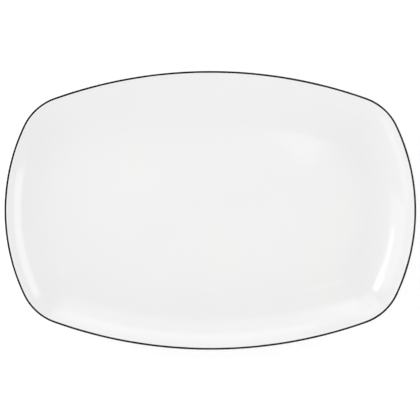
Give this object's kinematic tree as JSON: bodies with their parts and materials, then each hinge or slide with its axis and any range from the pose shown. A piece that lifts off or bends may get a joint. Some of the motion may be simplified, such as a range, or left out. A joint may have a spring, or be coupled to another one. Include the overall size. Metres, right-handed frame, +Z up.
{
  "type": "serving platter",
  "caption": "Shallow rectangular coupe serving platter in glazed white porcelain, with bowed sides, soft corners, a foot ring and a thin black line round the lip.",
  "frame": {"origin": "on the table under the platter's centre: the middle of its plan, at the height of the foot ring's standing edge", "axes": "+X along the long side, +Y along the short side, +Z up out of the well"},
  "size_m": [0.35, 0.237, 0.028],
  "materials": {
    "porcelain": "bare fired porcelain, fine and matte",
    "white_glaze": "smooth gloss, clear over white porcelain",
    "black_line": "smooth gloss, black colour fired into the glaze"
  },
  "bodies": {
    "root": {"porcelain_body": "porcelain", "glaze_upper_face": "white_glaze", "glaze_outer_side": "white_glaze", "glaze_foot_recess": "white_glaze", "black_rim_band": "black_line"}
  },
  "joints": []
}
